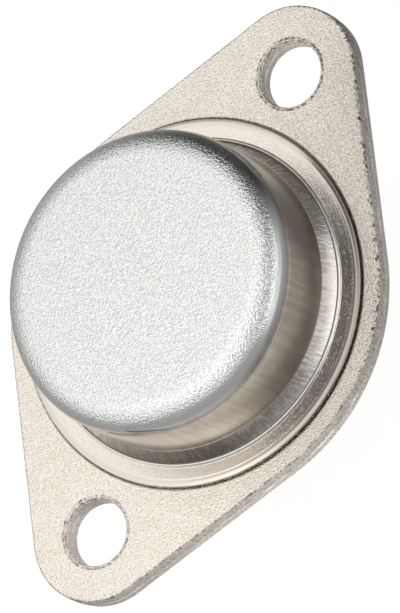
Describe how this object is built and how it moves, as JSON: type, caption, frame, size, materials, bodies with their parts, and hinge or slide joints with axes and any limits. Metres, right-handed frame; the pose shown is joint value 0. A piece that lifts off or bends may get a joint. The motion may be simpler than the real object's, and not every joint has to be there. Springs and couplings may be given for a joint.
{
  "type": "metal-can power transistor",
  "caption": "Power transistor in a welded metal can on a diamond base plate with mounting holes, with round leads in glass seals underneath.",
  "frame": {"origin": "centre of the plate's seating face, midway between the mounting holes", "axes": "+X along the line of the mounting holes, away from the leads; +Z out of the seating face through the middle of the can; the leads point along -Z"},
  "size_m": [0.0388, 0.0252, 0.0189],
  "materials": {
    "nickel_plate": "nickel-plated steel, fine orange-peel texture",
    "nickel_can": "nickel-plated drawn steel, smooth wall and bead-blasted top",
    "tinned_lead": "tin-dipped nickel-iron",
    "seal_glass": "dark fused glass",
    "copper": "bare copper",
    "braze": "brazed joint",
    "solder": "soft solder",
    "silicon": "metallised silicon",
    "bond_aluminium": "drawn wire"
  },
  "bodies": {
    "root": {"header_plate": "nickel_plate", "can": "nickel_can", "emitter_lead": "tinned_lead", "base_lead": "tinned_lead", "emitter_seal": "seal_glass", "base_seal": "seal_glass", "heat_spreader": "copper", "spreader_braze": "braze", "die_solder": "solder", "die": "silicon", "emitter_wire_1": "bond_aluminium", "emitter_wire_2": "bond_aluminium", "base_wire": "bond_aluminium"}
  },
  "joints": []
}
